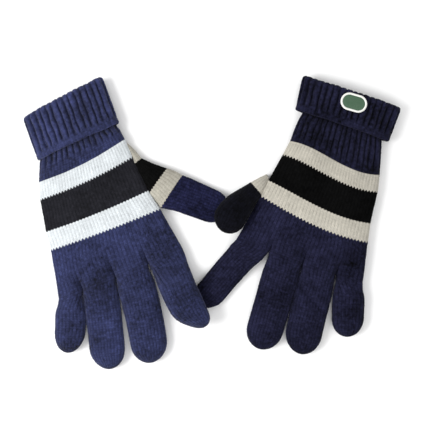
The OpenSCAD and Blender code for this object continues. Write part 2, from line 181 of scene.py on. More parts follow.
class KnitSizes(bpy.types.PropertyGroup):
    """Lengths of the knitted sections and of the stitch."""
    palm_length: length("Palm", "Plain palm, second white stripe to the knuckles",
                        0.038)
    white_lower_length: length(
        "Second white stripe", "Length of the second white stripe", 0.0155)
    black_length: length("Black stripe", "Length of the black stripe", 0.028)
    white_upper_length: length(
        "First white stripe", "Length of the first white stripe", 0.0135)
    index_length: length("Index finger", "Index finger from the knuckle line", 0.069)
    middle_length: length("Middle finger", "Middle finger from the knuckle line",
                          0.082)
    ring_length: length("Ring finger", "Ring finger from the knuckle line", 0.075)
    little_length: length("Little finger", "Little finger from the knuckle line",
                          0.050)
    finger_ease: length("Finger ease", "Added to the width of every finger", 0.0)
    thickness: length("Thickness", "Height of the palm as it lies", 0.013)
    wall: length("Knit thickness", "Thickness of one layer of knit", 0.0021)
    course: length("Course", "Height of one row of stitches", 0.00207)
    stitch_relief: length("Stitch relief", "How far a stitch stands up", 0.00062)
    rib_relief: length("Rib relief", "How far a rib stands above its groove", 0.0021)
    cuff_stitches: IntProperty(
        name="Stitches round the cuff", description="Number of wales round the rib",
        default=64)


class KnitColours(bpy.types.PropertyGroup):
    """Yarn and patch colours. Each glove has its own copy of each yarn: the right
    glove's are the lit copies, the left glove's the same yarns darkened with painted
    shade.
    """
    # Painted shade: navy, black and white are one yarn each, and the left glove's
    # copies are darkened to stand in for the shade that it lies in.
    navy_right: colour("Navy, right glove", "Navy yarn of the right-hand glove",
                       (0.029, 0.0355, 0.102))
    navy_left: colour("Navy, left glove", "Navy yarn of the left-hand glove",
                      (0.0128, 0.0132, 0.034))
    black_right: colour("Black, right glove", "Black yarn of the right-hand glove",
                        (0.0165, 0.0165, 0.0215))
    black_left: colour("Black, left glove", "Black yarn of the left-hand glove",
                       (0.0032, 0.0032, 0.0033))
    white_right: colour("White, right glove", "White yarn of the right-hand glove",
                        (0.70, 0.74, 0.765))
    white_left: colour("White, left glove", "White yarn of the left-hand glove",
                       (0.545, 0.515, 0.445))
    # Painted shade: the thumbs and the right gusset take their glove's yarns darkened
    # again, for the shade that they lie in.
    navy_shaded_right: colour("Navy, right thumb", "Darker navy of the right thumb",
                              (0.015, 0.0165, 0.052))
    navy_shaded_left: colour("Navy, left thumb", "Darker navy of the left thumb",
                             (0.0045, 0.0047, 0.0085))
    black_shaded_right: colour(
        "Black, right gusset", "Darker black of the right gusset",
        (0.004, 0.004, 0.004))
    white_shaded_right: colour(
        "White, right gusset", "Greyer white of the right gusset",
        (0.47, 0.445, 0.38))
    patch_green: colour("Patch green", "Satin stitch of the patch",
                        (0.040, 0.095, 0.050))
    patch_white: colour("Patch border", "Overlocked edge of the patch",
                        (0.80, 0.80, 0.76))


def sizes():
    return bpy.context.scene.knit_sizes


def mm(length):
    return length * METRE


# ------------------------------------------------------------ small maths
def smooth(low, high, x):
    t = np.clip((np.asarray(x, float) - low) / (high - low), 0.0, 1.0)
    return t * t * (3.0 - 2.0 * t)


def bump(x, centre, width):
    return np.exp(-((np.asarray(x, float) - centre) / width) ** 2)


def power(value, exponent):
    return np.sign(value) * np.abs(value) ** exponent


def ripple(a, b, seed):
    """Slow uneven waves, about -1 to 1, the same at every run."""
    waves = 0.0
    for k in range(5):
        turn = seed * 1.7 + k * 2.4
        length = 17.0 + 9.0 * k
        along = a * math.cos(turn) + b * math.sin(turn)
        waves = waves + np.sin(along * 2 * math.pi / length + seed * 3.1 + k * k)
    return waves / 3.2


def oval(width, height, count, power_of=HAND_POWER):
    """A flattened tube's section: dense points from its low side over the top,
    and back underneath, as (x, z) with z from 0."""
    q = np.linspace(math.pi, -math.pi, count)
    x = width / 2 * power(np.cos(q), power_of)
    z = height / 2 * (1 + power(np.sin(q), power_of))
    return x, np.maximum(z, 0.04 * height)


def spaced(x, z, share):
    """Points of a dense outline at the given shares of its length."""
    step = np.hypot(np.diff(x), np.diff(z))
    run = np.concatenate([[0.0], np.cumsum(step)])
    run /= run[-1]
    return np.interp(share, run, x), np.interp(share, run, z)


def section(width, height, wales, total, power_of=TUBE_POWER):
    """A section's points, one to each wale, evenly spaced round it."""
    x, z = oval(width, height, FINE, power_of)
    return spaced(x, z, wales / total)


def wales_round(total):
    """Stitch number of each mesh column round a piece."""
    return np.arange(total * COLUMNS) / COLUMNS


def courses_up(rows):
    """Course number of each mesh row along a piece."""
    return np.arange(rows + 1) / ROWS


def upper_side(z, height):
    """0 on the lower half of a section to 1 along its top."""
    return np.clip(z / height - 0.5, 0, 0.5) * 2


def crowned(shrink):
    """Height left in a rounded end where its width has shrunk."""
    return 0.18 + 0.82 * shrink ** 0.55


def round_end(t, straight, full, cap):
    """Distance along a closed tube and how far its section has shrunk, after t
    of knitting."""
    share = np.clip((t - straight) / (full - straight), 0, 1) * TIP_SHARE
    d = t if t <= straight else straight + cap * math.sin(share * math.pi / 2)
    return d, math.cos(share * math.pi / 2)


def stitch_share(rings):
    """Width of a stitch in each ring, as a share of a free one."""
    step = np.linalg.norm(rings - np.roll(rings, 1, axis=1), axis=2)
    return step.mean(axis=1) * COLUMNS / FREE_STITCH


# ---------------------------------------------------------- the two gloves
class Glove:
    """Where one glove lies, and the outline of its hand."""

    def __init__(self, side):
        self.side = side
        joints = {j["name"]: j for j in frame["joints"]}
        ring = Vector(joints[side + "_ring_fold"]["pos_m"]) * METRE
        middle = Vector(joints[side + "_middle_fold"]["pos_m"]) * METRE
        origin = (ring + middle) / 2
        self.origin = np.array([origin.x, origin.y, 0.0])
        across = (middle - ring).normalized()
        self.across = np.array([across.x, across.y, 0.0])
        turn = 1.0 if side == "lh" else -1.0
        self.along = np.array([-across.y * turn, across.x * turn, 0.0])
        self.mirrored = side == "rh"
        s = sizes()
        self.b_palm = -mm(s.palm_length)
        self.b_white_lower = self.b_palm - mm(s.white_lower_length)
        self.b_black = self.b_white_lower - mm(s.black_length)
        self.b_white_upper = self.b_black - mm(s.white_upper_length)
        self.edges = (self.b_white_upper, self.b_black, self.b_white_lower,
                      self.b_palm)
        self.cuff_height = mm(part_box(side + "_cuff_turn_up")[1].z)
        wrist_run, cuff_run = CUFF_RUNS[side]
        self.b_hem = self.b_white_upper - wrist_run
        self.b_fold = self.b_hem - cuff_run

    def cuff_wales(self):
        """Stitches round the rib: the left glove's lies wider."""
        return sizes().cuff_stitches + (
            CUFF_SPREAD if self.side == "lh" else -CUFF_SPREAD)

    def world(self, points):
        """Glove-frame millimetres to row-frame metres."""
        p = np.asarray(points, float)
        out = (self.origin + p[..., :1] * self.across + p[..., 1:2] * self.along)
        out[..., 2] = p[..., 2]
        return out / METRE

    def point(self, a, b, z):
        return Vector(self.world([a, b, z]))

    def middle(self, b):
        wrist, middles = MIDDLES[self.side]
        return np.interp(b, (-160, wrist, *self.edges, 0, 9), middles)

    def width(self, b):
        return np.interp(b, (self.b_fold, self.b_hem, *self.edges, 0, 9), WIDTHS)

    def height(self, b):
        thick = mm(sizes().thickness)
        return np.interp(b, (self.b_hem, self.b_white_upper, self.b_palm, 0),
                         (thick - 1.5, thick - 0.4, thick, thick - 0.6))

    def sag(self, x, b):
        """How far the courses bow along the glove, by place across (-1 to 1)."""
        near_cuff, near_palm = np.array(BOW[self.side])
        share = np.clip((b - self.b_white_upper) / (self.b_palm - self.b_white_upper),
                        0, 1)
        rise, slant, curl, sway = near_cuff + share * (near_palm - near_cuff)
        x = np.clip(x, -1, 1)
        bow = rise + slant * x + curl * x * x + sway * x * (1 - x * x)
        return bow * smooth(self.b_hem - 3, self.b_white_upper, b) * smooth(
            -8, self.b_palm, b)

    def hand_ring(self, b, wales):
        """Points of the hand's section at b, by wale number."""
        half = HAND_WALES / 2
        wide, high, mid = self.width(b), self.height(b), self.middle(b)
        x, z = oval(wide, high, HAND_FINE)
        over = HAND_FINE // 2 + 1
        x_top, z_top = x[:over], z[:over]
        step = np.hypot(np.diff(x_top), np.diff(z_top))
        run = np.concatenate([[0.0], np.cumsum(step)]) / step.sum()
        near = float(smooth(-46, -2, b))
        knots_w = np.array(KNUCKLE_WALES, float)
        crotch_run = [np.interp(c - mid, x_top, run) for c in CROTCHES]
        knots_r = (1 - near) * knots_w / half + near * np.array(
            [0, *crotch_run, 1])
        w = np.where(wales <= half, wales, HAND_WALES - wales)
        share = np.interp(w, knots_w, knots_r)
        px = np.interp(share, run, x_top)
        pz = np.interp(share, run, z_top)
        lobed = float(smooth(-15, 0, b))
        fit = 1 - lobed * (1 - self.lobes(w))
        rise = (pz - high / 2) * fit
        pz = np.where(wales <= half, high / 2 + rise,
                      np.maximum(high / 2 - rise, 0.04 * high))
        return px + mid, pz

    @staticmethod
    def lobes(w):
        """Height of the four knuckle lobes by wale, 0.1 at a crotch."""
        knots = np.array(KNUCKLE_WALES, float)
        lobe = np.clip(np.searchsorted(knots, w, side="right") - 1, 0, 3)
        t = (w - knots[lobe]) / (knots[lobe + 1] - knots[lobe])
        edge = np.abs(2 * t - 1)
        outer = ((lobe == 0) & (t < 0.5)) | ((lobe == 3) & (t > 0.5))
        round_off = (1 - edge ** 2.6) ** 0.62
        return np.where(outer, 1.0, 0.10 + 0.90 * round_off)

    def crease(self, a, b):
        """Hollows pressed into the back of the hand, mostly above the knuckles."""
        out = 0.0
        for c, reach, deep in zip(CROTCHES, (18, 26, 20), (1.7, 2.6, 2.0)):
            out = out - deep * bump(a - c + 0.06 * b, 0, 3.2) * smooth(-reach, -2, b)
        if self.side == "rh":
            return out - 0.8 * bump(a - 0.5 * b, 58, 5) * smooth(-80, -45, b)
        return (out - 1.1 * bump(a + 0.6 * b, -6, 5) * smooth(-52, -34, b)
                - 0.9 * bump(a - 0.5 * b, 46, 5) * smooth(-60, -40, b))


# ------------------------------------------------------------ stitch relief
def chance(rows, columns, seed):
    """A repeatable random number for each stitch."""
    return np.random.default_rng(seed).random((int(rows) + 2, int(columns) + 2))


def stitch_height(wales, courses, seed=5):
    """Plain knit, 0 in the gap between two wales to 1 on a leg of a stitch."""
    wide = float(np.max(wales)) + 1
    drift = 0.10 * np.sin(courses * 0.55 + 5 * np.sin(wales * 2 * math.pi / wide))
    across = wales + drift - np.floor(wales + drift)
    up = courses - np.floor(courses)
    legs = np.minimum(1.0, 1.25 * np.sin(math.pi * across) ** 0.75)
    legs = legs - 0.22 * bump(across, 0.5, 0.12)
    plump = chance(np.max(courses), wide, seed)[
        np.floor(courses).astype(int), np.floor(wales).astype(int) % int(wide)]
    height = legs * (0.62 + 0.38 * np.sin(math.pi * up) ** 0.6)
    return height * (0.72 + 0.28 * plump)


def rib_height(wales):
    """One-by-one rib, 0 in the groove to 1 on the broad rounded rib."""
    uneven = wales + 0.16 * np.sin(wales * 1.9) + 0.12 * np.sin(wales * 0.73 + 1)
    across = uneven / 2 - np.floor(uneven / 2)
    groove = bump(across, 0.5, 0.17)
    return (1 - groove) * (0.86 + 0.14 * np.cos(2 * math.pi * across))


def wander(wales, courses):
    """Wales that do not run quite straight up the piece."""
    up = courses[:, None]
    return wales[None, :] + 0.13 * np.sin(up * 0.8 + wales[None, :] * 0.9) * np.sin(
        wales[None, :] * 0.31 + up * 0.17)


def fibres(shape, seed, amount=0.07):
    """Fine roughness of loose wool, in millimetres."""
    return np.random.default_rng(seed).normal(0, amount, shape)


def zigzag(rings, amount, wales, spacing):
    """Shifts each column along the piece, so that rows follow the stitches."""
    count = len(rings) - SPARE
    point = np.abs(2 * (wales - np.floor(wales)) - 1)
    shift = np.asarray(amount, float)[:, None] * point[None, :] / spacing
    row = np.arange(count)[:, None] + np.clip(shift, 0, SPARE - 1.01)
    low = np.floor(row).astype(int)
    part = (row - low)[..., None]
    column = np.arange(rings.shape[1])[None, :]
    return rings[low, column] * (1 - part) + rings[low + 1, column] * part


def outward(rings):
    """Unit normals of a stack of rings, pointing away from its middle."""
    round_way = np.roll(rings, -1, axis=1) - np.roll(rings, 1, axis=1)
    along = np.gradient(rings, axis=0)
    normal = np.cross(round_way, along)
    normal /= np.linalg.norm(normal, axis=2, keepdims=True) + 1e-9
    away = rings - rings.mean(axis=1, keepdims=True)
    if (normal * away).sum() < 0:
        normal = -normal
    return normal


# --------------------------------------------------------------- the mesh
def knit_mesh(name, glove, rings, lift, shade, wales, courses, closed_tip=False,
              lining_rows=None):
    """One knitted piece: a grid laid over the rings, raised by its stitches,
    joined down its seam, lined inside and closed at its ends."""
    rows, cols = rings.shape[0] - 1, rings.shape[1]
    normal = outward(rings)
    lift = lift + fibres(lift.shape, len(name) + rows)
    skin = glove.world(rings + normal * lift[..., None])
    wall = mm(sizes().wall)
    if lining_rows is None:
        lining_rows = (0, rows // 2, rows)
    lining = glove.world((rings - normal * wall)[list(lining_rows)])

    mesh = bpy.data.meshes.new(name)
    bm = bmesh.new()
    bm.loops.layers.uv.new("knit")
    bmesh.ops.create_grid(bm, x_segments=cols, y_segments=rows, size=0.5,
                          calc_uvs=True)
    bm.to_mesh(mesh)
    bm.free()
    flat = np.empty(len(mesh.vertices) * 3, np.float32)
    mesh.vertices.foreach_get("co", flat)
    grid = flat.reshape(-1, 3)
    column = np.rint((grid[:, 0] + 0.5) * cols).astype(int)
    row = np.rint((grid[:, 1] + 0.5) * rows).astype(int)
    placed = skin[row, column % cols]
    mesh.vertices.foreach_set("co", placed.astype(np.float32).ravel())
    # Painted shade: the relief attribute carries the piece's shade, low in the gaps
    # between stitches and the rib grooves, and darkens the yarn's colour there.
    for label, values in (("relief", shade[row, column % cols]),
                          ("column", column % cols), ("row", row)):
        kind = "FLOAT" if label == "relief" else "INT"
        attribute = mesh.attributes.new(label, kind, "POINT")
        attribute.data.foreach_set("value", values)
    uv = np.empty(len(mesh.loops) * 2, np.float32)
    mesh.uv_layers["knit"].data.foreach_get("uv", uv)
    uv = uv.reshape(-1, 2) * np.array([wales, courses], np.float32)
    mesh.uv_layers["knit"].data.foreach_set("uv", uv.ravel())

    bm = bmesh.new()
    bm.from_mesh(mesh)
    if glove.mirrored != (glove_turn(rings) < 0):
        bmesh.ops.reverse_faces(bm, faces=bm.faces)
    at = bm.verts.layers.int["column"]
    course_at = bm.verts.layers.int["row"]
    weld(bm, [e for e in bm.edges if e.is_boundary])
    ends = {0: [], rows: []}
    for edge in bm.edges:
        if edge.is_boundary:
            ends[edge.verts[0][course_at]].append(edge)
    if closed_tip:
        close_tip(bm, ends[rows])
    else:
        for edge in ends[rows]:
            edge.smooth = False
    for edge in ends[0]:
        edge.smooth = False
    loop = ends[0]
    for ring in lining:
        loop = extend_lining(bm, loop, ring, at)
    if closed_tip:
        close_tip(bm, loop)
    else:
        last = extend_lining(bm, ends[rows], lining[-1], at)
        weld(bm, (*last, *loop))
    bm.to_mesh(mesh)
    bm.free()
    mesh.attributes.remove(mesh.attributes["column"])
    mesh.attributes.remove(mesh.attributes["row"])
    mesh.shade_smooth()
    piece = bpy.data.objects.new(name, mesh)
    bpy.context.scene.collection.objects.link(piece)
    return piece


def glove_turn(rings):
    """Which way a ring runs round, by the sign of its area seen from the cuff."""
    ring = rings[0]
    side = ring[:, 0] * np.roll(ring[:, 2], -1) - np.roll(ring[:, 0], -1) * ring[:, 2]
    return side.sum()


def extend_lining(bm, edges, ring, at):
    """Draws an edge loop on to the next ring of the lining."""
    made = bmesh.ops.extrude_edge_only(bm, edges=edges)["geom"]
    for vert in made:
        if isinstance(vert, bmesh.types.BMVert):
            vert.co = ring[vert[at]]
    return [e for e in made if isinstance(e, bmesh.types.BMEdge) and e.is_boundary]


def weld(bm, edges):
    """Joins the corners of edges that lie on each other, in the mesh's own
    order, so that every run gives the same mesh."""
    corners = dict.fromkeys(v for e in edges for v in e.verts)
    bmesh.ops.remove_doubles(bm, verts=list(corners), dist=WELD)


def close_tip(bm, edges):
    """Gathers the last ring of a finger shut."""
    made = bmesh.ops.edgeloop_fill(bm, edges=edges)["faces"]
    bmesh.ops.poke(bm, faces=made)


# --------------------------------------------------------------- hand pieces
def hand_piece(glove, node, start, end, count):
    """One band of the hand, knitted straight from the section of the glove."""
    wales = wales_round(HAND_WALES)
    rows = count * ROWS
    spacing = (end - start) / rows
    stations = start + spacing * np.arange(rows + 1 + SPARE)
    rings = np.stack([hand_course(glove, b, wales) for b in stations])
    amount = np.interp(stations[:rows + 1], *zip(*edge_points(glove)))
    rings = zigzag(rings, amount, wales, spacing)
    height = stitch_height(wales[None, :], courses_up(rows)[:, None], int(-start))
    lift = mm(sizes().stitch_relief) * (height - 0.6)
    fade = smooth(-14, 0, stations[:rows + 1])[:, None]
    pinch = (1 - 0.7 * fade * crotch_near(wales)[None, :])
    return knit_mesh(glove.side + "_" + node + "_knit", glove, rings, lift * pinch,
                     height, HAND_WALES, count)


def crotch_near(wales):
    """1 on the stitches that meet at a crotch, fading to both sides."""
    w = np.where(wales <= HAND_WALES / 2, wales, HAND_WALES - wales)
    return np.maximum.reduce([bump(w, c, 1.2) for c in KNUCKLE_WALES[1:4]])


def hand_course(glove, b, wales):
    """One course of the hand, bowed along the glove and uneven in height."""
    a, z = glove.hand_ring(b, wales)
    across = 2 * (a - glove.middle(b)) / glove.width(b)
    bowed = b + glove.sag(across, b)
    calm = smooth(2, -8, b)
    z = z + upper_side(z, glove.height(b)) * calm * (
        0.45 * ripple(a, bowed, 1 + glove.mirrored) + glove.crease(a, b))
    return np.stack([a, bowed, z], axis=1)


def edge_points(glove):
    """Depth of the zigzag along the hand: deep where white meets a dark yarn."""
    return ((glove.b_white_upper, 0.0), (glove.b_white_upper + 4, 1.4),
            (glove.b_black, 1.9), (glove.b_white_lower - 5, 1.4),
            (glove.b_white_lower, 0.8), (glove.b_white_lower + 5, 1.4),
            (glove.b_palm, 1.9), (-6, 1.4), (0, 0.0))


def wrist_piece(glove):
    """The ribbed wrist, from the first white stripe up inside the turn-up."""
    s = sizes()
    total = glove.cuff_wales()
    wales = wales_round(total)
    lift_in = 3.0        # the rib stands this far off the floor in the turn-up
    top = glove.b_fold + 5.5
    count = int(round((glove.b_white_upper - top) / mm(s.course)))
    rows = count * ROWS
    stations = np.linspace(top, glove.b_white_upper, rows + 1)
    rings = []
    for b in stations:
        up = float(smooth(glove.b_hem + 9, glove.b_hem + 1, b))
        a, z = section(glove.width(b) - 1.5 * up, glove.height(b) - 1.0 * up,
                       wales, total, HAND_POWER)
        a = a + glove.middle(b)
        across = 2 * (a - glove.middle(b)) / glove.width(b)
        rings.append(np.stack([a, b + glove.sag(across, b), z + up * lift_in],
                              axis=1))
    rings = np.stack(rings)
    b = stations[:, None]
    fade_from = 11.0 if glove.side == "rh" else 4.0     # where the rib gives way
    rib = smooth(glove.b_white_upper - fade_from + 5,
                 glove.b_white_upper - fade_from - 6, b)
    courses = courses_up(rows)
    plain = stitch_height(wales[None, :], courses[:, None])
    ribbed = rib_height(wander(wales, courses)) * (0.8 + 0.2 * plain)
    inside = smooth(glove.b_hem + 2, glove.b_hem - 3, b)
    deep = mm(s.rib_relief) * 0.85 * (1 - 0.45 * inside)
    lift = (rib * deep * (ribbed - 0.6)
            + (1 - rib) * mm(s.stitch_relief) * (plain - 0.6))
    rim = smooth(glove.b_white_upper, glove.b_white_upper - 1.2, b)
    # Painted shade: dark in the rib grooves and between stitches, then a painted
    # shadow in a band on the wrist round the hem, where the turn-up's edge would
    # shade it.
    shade = rib * ribbed + (1 - rib) * plain
    shade = shade * (1 - 0.75 * bump(b, glove.b_hem + 0.5, 3.2))
    return knit_mesh(glove.side + "_wrist_rib_knit", glove, rings, lift * rim,
                     shade, total, count)


# ------------------------------------------------------------- turned-up cuff
def cuff_outline(glove, b):
    """Middle, width and height of the turn-up at b."""
    share = (b - glove.b_fold) / (glove.b_hem - glove.b_fold)
    at_fold, at_hem = TURN_UP[glove.side][:2]
    wide = at_fold + (at_hem - at_fold) * share
    return glove.middle(b), wide, glove.cuff_height - 0.9


def cuff_lie(glove, b, across):
    """How far the turn-up's courses stray along the glove, by place across."""
    share = np.clip((b - glove.b_fold) / (glove.b_hem - glove.b_fold), 0, 1)
    fold_shift, fold_slant, hem_shift, hem_slant = TURN_UP[glove.side][2:]
    shift = fold_shift + (hem_shift - fold_shift) * share
    slant = fold_slant + (hem_slant - fold_slant) * share
    return shift + slant * across + 0.4 * ripple(40 * across, 0 * across, 4)


def cuff_course(glove, b, grow, wales, total):
    """One course of the turn-up, spread or drawn in from its outline by grow."""
    mid, wide, high = cuff_outline(glove, b)
    a, z = section(wide + 2 * grow, high + 2 * grow, wales, total, CUFF_POWER)
    return np.stack([a + mid, b + cuff_lie(glove, b, 2 * a / wide), z - grow],
                    axis=1)


def cuff_piece(glove):
    """The ribbed turn-up with its soft roll over the fold."""
    s = sizes()
    total = glove.cuff_wales()
    wales = wales_round(total)
    roll = 3.3           # radius of the fold
    end = glove.b_hem - HEM
    inner_run = 5.0      # how far it runs back inside
    half_turn = math.pi * roll / 2
    run = inner_run + half_turn + (end - glove.b_fold - roll)
    count = int(round(run / mm(s.course)))
    rows = count * ROWS
    along = np.linspace(0, run, rows + 1)
    rings, flatness = [], []
    for t in along:
        if t < inner_run:
            b, grow = glove.b_fold + roll + inner_run - t, -2 * roll
        elif t < inner_run + half_turn:
            angle = (t - inner_run) / roll * 2
            b = glove.b_fold + roll * (1 - math.sin(angle))
            grow = -roll * (1 + math.cos(angle))
        else:
            b = glove.b_fold + roll + (t - inner_run - half_turn)
            grow = 0.0
        rings.append(cuff_course(glove, b, grow * 0.86, wales, total))
        flatness.append(smooth(end + 1.0, end - 3.5, b)
                        * (0.25 + 0.75 * smooth(inner_run + 1, inner_run + 9, t)))
    rings = np.stack(rings)
    rib = np.array(flatness, float)[:, None]
    courses = courses_up(rows)
    plain = stitch_height(wales[None, :], courses[:, None])
    ribbed = rib_height(wander(wales, courses)) * (0.86 + 0.14 * plain)
    lift = (rib * mm(s.rib_relief) * (ribbed - 0.75)
            + (1 - rib) * mm(s.stitch_relief) * 0.7 * (plain - 0.6))
    # Painted shade: dark in the rib grooves and between the plain stitches.
    shade = rib * ribbed + (1 - rib) * (0.35 + 0.65 * plain)
    return knit_mesh(glove.side + "_cuff_turn_up_knit", glove, rings, lift, shade,
                     total, count)


def hem_piece(glove):
    """The plain band that ends the turn-up, curling over at its free edge."""
    s = sizes()
    total = glove.cuff_wales()
    wales = wales_round(total)
    start, end = glove.b_hem - HEM, glove.b_hem
    roll = 1.5           # radius of the curl
    run = (end - start - roll) + roll * math.pi / 2
    count = 3            # courses
    rows = count * ROWS + 3
    rings = []
    for t in np.linspace(0, run, rows + 1):
        if t < end - start - roll:
            b, grow = start + t, 0.25 * math.sin(t / (end - start) * math.pi)
        else:
            angle = (t - (end - start - roll)) / roll
            b = end - roll + roll * math.sin(angle)
            grow = -roll * (1 - math.cos(angle)) + 0.25 * math.cos(angle)
        rings.append(cuff_course(glove, b, grow, wales, total))
    rings = np.stack(rings)
    courses = np.linspace(0, count, rows + 1)
    plain = stitch_height(wales[None, :], courses[:, None])
    lift = mm(s.stitch_relief) * 0.7 * (plain - 0.6)
    # Its shade, low between stitches, is painted shade.
    return knit_mesh(glove.side + "_cuff_hem_knit", glove, rings, lift,
                     0.35 + 0.65 * plain, total, count)


# ------------------------------------------------------------------ fingers
FINGERS = ("little", "ring", "middle", "index")
SIDES = ((0, 6), (4, 4), (4, 4), (6, 0))   # stitches up the walls beside each one


class Round:
    """How the stitches of one finger go round it: over the top and back
    underneath, with a short wall at each side that meets another finger."""

    def __init__(self, finger):
        self.place = FINGERS.index(finger)
        self.low, self.high = KNUCKLE_WALES[self.place:self.place + 2]
        self.side_low, self.side_high = SIDES[self.place]
        self.top = self.high - self.low
        self.total = 2 * self.top + self.side_low + self.side_high
        self.start = self.side_low / 2
        self.far = self.start + self.top + self.side_high / 2
        self.wales = wales_round(self.total)

    def base_wales(self):
        """Which wale of the hand each finger wale grows from."""
        on_top = self.low + np.clip(self.wales - self.start, 0, self.top)
        below = self.wales - (self.start + self.top + self.side_high)
        under = (HAND_WALES - self.high) + np.clip(below, 0, self.top)
        return np.where(self.wales <= self.far, on_top, np.where(
            self.wales > self.total - self.start, self.low, under))

    def with_walls(self, a, z):
        """Spreads the stitches between two fingers up the wall at a crotch."""
        mid = mm(sizes().thickness) / 2 - 0.3
        round_seam = self.wales > self.total - self.start
        w = np.where(round_seam, self.wales - self.total, self.wales)
        if self.side_low:
            part = np.clip(w / self.start, -1, 1)
            wall = (np.abs(w) < self.start) | round_seam
            z = np.where(wall, mid + part * 0.6, z)
            a = np.where(wall, CROTCHES[self.place - 1], a)
        if self.side_high:
            part = np.clip((self.far - w) / (self.side_high / 2), -1, 1)
            wall = np.abs(w - self.far) < self.side_high / 2
            z = np.where(wall, mid + part * 0.6, z)
            a = np.where(wall, CROTCHES[self.place], a)
        return a, z

    def wall_share(self):
        """1 on the stitches of a wall, 0 away from it."""
        near = np.minimum(self.wales, self.total - self.wales)
        share = 0 * self.wales
        for side, away in ((self.side_low, near),
                           (self.side_high, np.abs(self.wales - self.far))):
            if side:
                share = np.maximum(share, smooth(side / 2 + 1, side / 2 - 1, away))
        return share[None, :]


def finger_raise(glove, finger, d):
    """Lift of the right index finger, which lies over the other glove's."""
    if glove.side == "rh" and finger == "index":
        return RAISED * smooth(13, 35, d)
    return 0 * d


def finger_height(glove, finger, d, length):
    """Height of a finger as it lies, less where another lies on it."""
    thick = mm(sizes().thickness) - 0.8
    high = thick - 1.6 * d / length
    if glove.side == "lh" and finger == "index":
        high = np.interp(d, (0, 34, 90), (thick, 8.0, 7.8))
    return high


def finger_piece(glove, finger):
    """A finger tube: opens from its knuckle lobe into a round tube, and is
    gathered in at the tip."""
    s = sizes()
    way = Round(finger)
    wales = way.wales
    length = mm(getattr(s, finger + "_length"))
    wide, bow, hook, round_off = STRAY[glove.side][finger]
    wide += mm(s.finger_ease)
    cap = wide * round_off
    straight = length - cap
    run = straight + cap * 1.45
    count = int(round(run / mm(s.course)))
    rows = count * ROWS
    spacing = run / rows
    along = np.arange(rows + 1 + SPARE) * spacing

    base_a, base_z = way.with_walls(*glove.hand_ring(0.0, way.base_wales()))
    centre = (base_a.min() + base_a.max()) / 2
    root_wide = base_a.max() - base_a.min()
    angle = math.radians(LEAN[glove.side][finger])
    rings = []
    for t in along:
        d, shrink = round_end(t, straight, run, cap)
        belly = float(smooth(0, 20, d))
        w = (root_wide - 0.8) * (1 - belly) + wide * belly
        w *= (1 - 0.05 * d / length) * shrink
        full = finger_height(glove, finger, d, length)
        h = full * crowned(shrink)
        fx, fz = section(w, h, wales, way.total)
        k = float(smooth(0, 15, t))
        x = (base_a - centre) * (1 - k) + fx * k
        z = base_z * (1 - k) + (fz + (full * 0.5 - h / 2) * 0.75) * k
        psi = angle * min(1.0, float(smooth(0, 20, d)) ** 0.8)
        sway = (bow * math.sin(math.pi * d / length)
                + hook * float(smooth(length - 26, length, d)) ** 2)
        a = centre + d * math.sin(angle) + sway * k + x * math.cos(psi)
        b = d * math.cos(angle) - x * math.sin(psi)
        z = z + finger_raise(glove, finger, d)
        upper = upper_side(fz, max(h, 1))
        z = z + upper * k * 0.5 * ripple(a, b, 7 + way.low) * shrink
        z = z + finger_crease(glove, finger, a, b) * upper * k
        rings.append(np.stack([a, b, z], axis=1))
    rings = np.stack(rings)
    amount = 0.9 * smooth(0, 5, along[:rows + 1]) * smooth(
        run, straight + 4, along[:rows + 1])
    rings = zigzag(rings, amount, wales, spacing)
    height = stitch_height(wales[None, :], courses_up(rows)[:, None])
    lift = mm(s.stitch_relief) * (height - 0.6) * np.minimum(
        1, stitch_share(rings))[:, None]
    lift = lift * (1 - 0.8 * way.wall_share() * smooth(
        12, 0, along[:rows + 1])[:, None])
    return knit_mesh(glove.side + "_finger_" + finger + "_knit", glove, rings, lift,
                     height, way.total, count, closed_tip=True,
                     lining_rows=(0, rows // 3, 2 * rows // 3, int(rows * 0.93)))


def finger_crease(glove, finger, a, b):
    """Hollow pressed across a finger: how deep, its slant, its place, its width."""
    deep, slant, place, width = {
        ("lh", "ring"): (-2.2, 0.5, 18, 3.2), ("lh", "middle"): (-0.8, -0.3, 16, 4.0),
        ("rh", "ring"): (-0.7, 0.4, 22, 4.5)}.get((glove.side, finger), (0, 0, 0, 1))
    return deep * bump(b + slant * a, place, width)


# ---------------------------------------------------- thumbs and gussets
def along_stations(stations, rows):
    """Smoothly spaced rows through given stations (a, b, turn, z, w, h)."""
    s = np.array(stations, float)
    run = np.concatenate([[0], np.cumsum(np.hypot(*np.diff(s[:, :2], axis=0).T))])
    dense = np.linspace(0, run[-1], 400)
    table = np.stack([np.interp(dense, run, s[:, k]) for k in range(6)], axis=1)
    for _ in range(30):
        table[1:-1] = (table[:-2] + table[2:] + 2 * table[1:-1]) / 4
    at = np.linspace(0, run[-1], rows)
    return np.stack([np.interp(at, dense, table[:, k]) for k in range(6)], axis=1)


